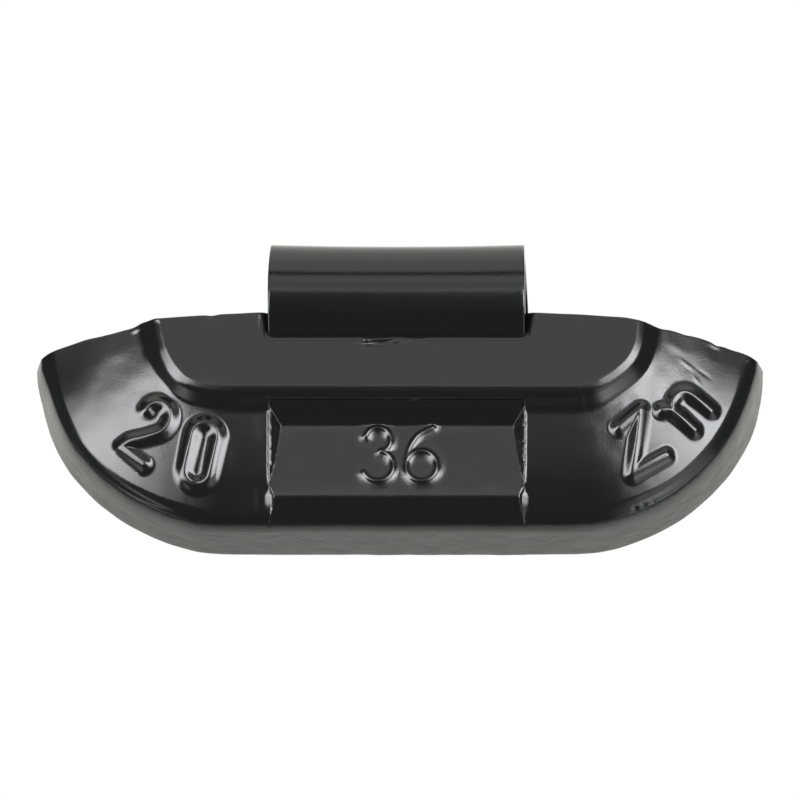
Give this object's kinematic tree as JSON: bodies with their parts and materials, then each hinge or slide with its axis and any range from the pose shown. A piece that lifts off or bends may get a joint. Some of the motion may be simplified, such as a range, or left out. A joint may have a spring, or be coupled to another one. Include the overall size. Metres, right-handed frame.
{
  "type": "clip-on wheel balance weight",
  "caption": "Black coated zinc balance weight with rounded ends, a flat raised pad, a sunk panel and a bent steel clip that grips a rim's lip.",
  "frame": {"origin": "on the axis of the clip's curl, at the middle of its width", "axes": "+X along the weight, -Y out of the visible face, +Z towards the edge of the rim"},
  "size_m": [0.0444, 0.0099, 0.0178],
  "materials": {
    "coated_zinc": "glossy black coating over a die casting, with fine grain in the reflections, soft edges and small casting flaws",
    "coated_steel": "glossy black coating over bent spring steel, smoother than the casting, with paler worn cut edges"
  },
  "bodies": {
    "root": {"weight": "coated_zinc", "clip": "coated_steel"}
  },
  "joints": []
}
